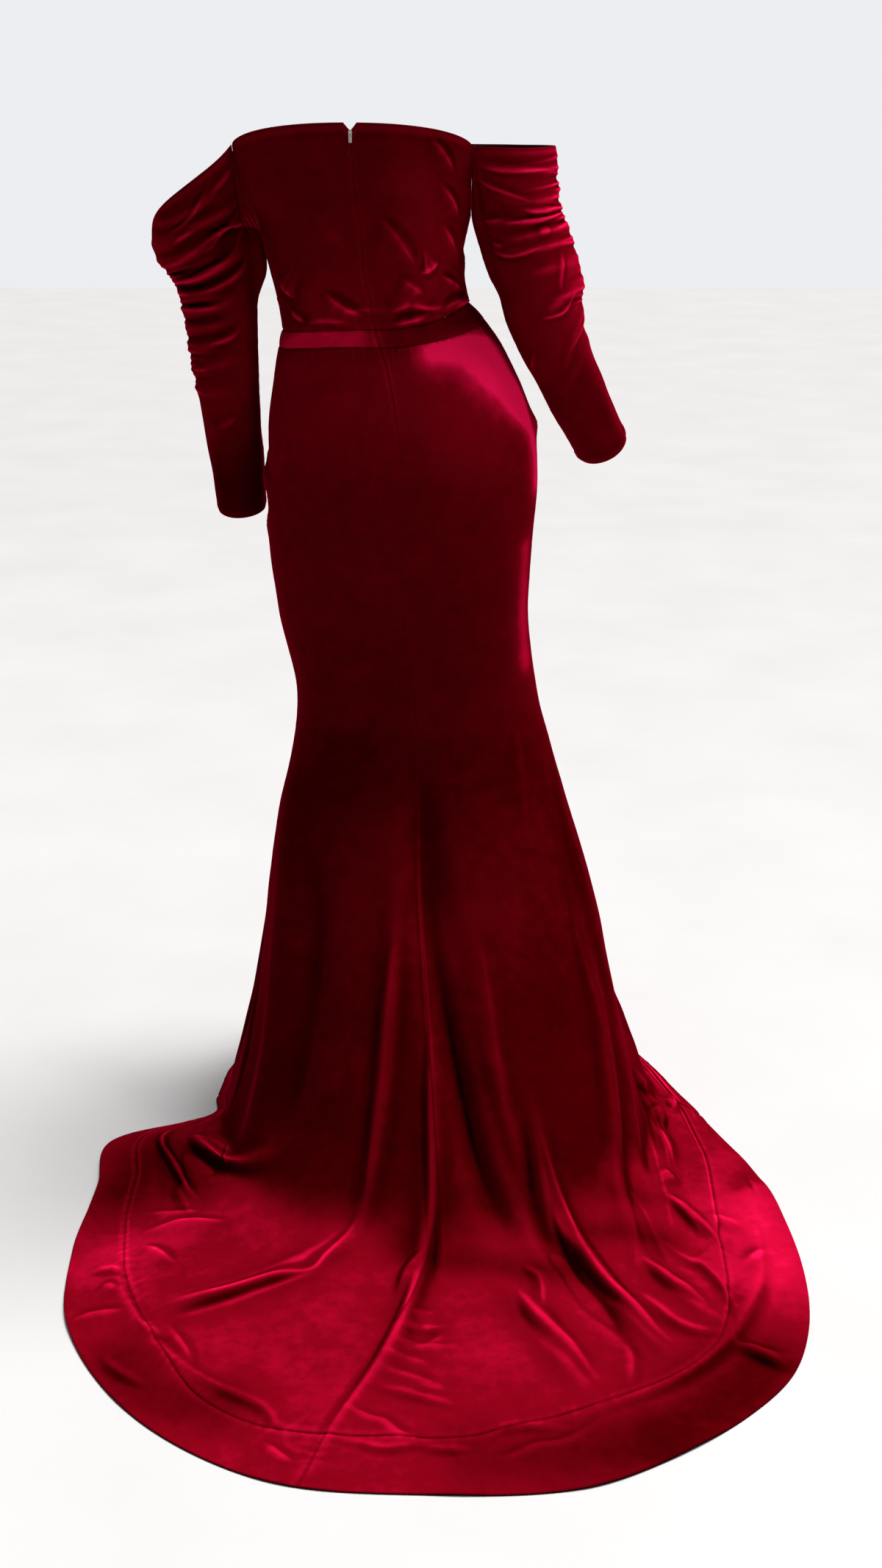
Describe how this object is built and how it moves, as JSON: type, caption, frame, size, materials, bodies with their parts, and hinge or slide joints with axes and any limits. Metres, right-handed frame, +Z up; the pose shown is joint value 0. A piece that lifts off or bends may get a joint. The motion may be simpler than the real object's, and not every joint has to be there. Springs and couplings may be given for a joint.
{
  "type": "velvet mermaid gown",
  "caption": "Off-shoulder mermaid gown in crimson velvet with ruched long sleeves, waistband, back zip and a rounded train, filled out as worn.",
  "frame": {"origin": "middle of the waist seam, where the gown is held by its wearer", "axes": "+Z up, +Y towards the gown's back with its zip and train, +X towards the wearer's left"},
  "size_m": [0.9589, 1.2908, 1.3999],
  "materials": {
    "velvet": "velvet",
    "zip_metal": "satin"
  },
  "bodies": {
    "gown": {"bodice_back_left": "velvet", "waistband_back_left": "velvet", "skirt_back_left": "velvet", "hem_band_back_left": "velvet", "bodice_back_right": "velvet", "waistband_back_right": "velvet", "skirt_back_right": "velvet", "hem_band_back_right": "velvet", "bodice_front": "velvet", "waistband_front": "velvet", "skirt_front": "velvet", "hem_band_front": "velvet", "sleeve_left_back": "velvet", "sleeve_left_front": "velvet", "sleeve_right_back": "velvet", "sleeve_right_front": "velvet", "zip_slider": "zip_metal"},
    "zip_pull": {"zip_pull": "zip_metal"}
  },
  "joints": [
    {"name": "zip_pull_swing", "type": "hinge", "parent": "gown", "child": "zip_pull", "pos_m": [0.03645, 0.09397, 0.2525], "axis": [1, 0, 0], "range_deg": [0, 150]}
  ]
}
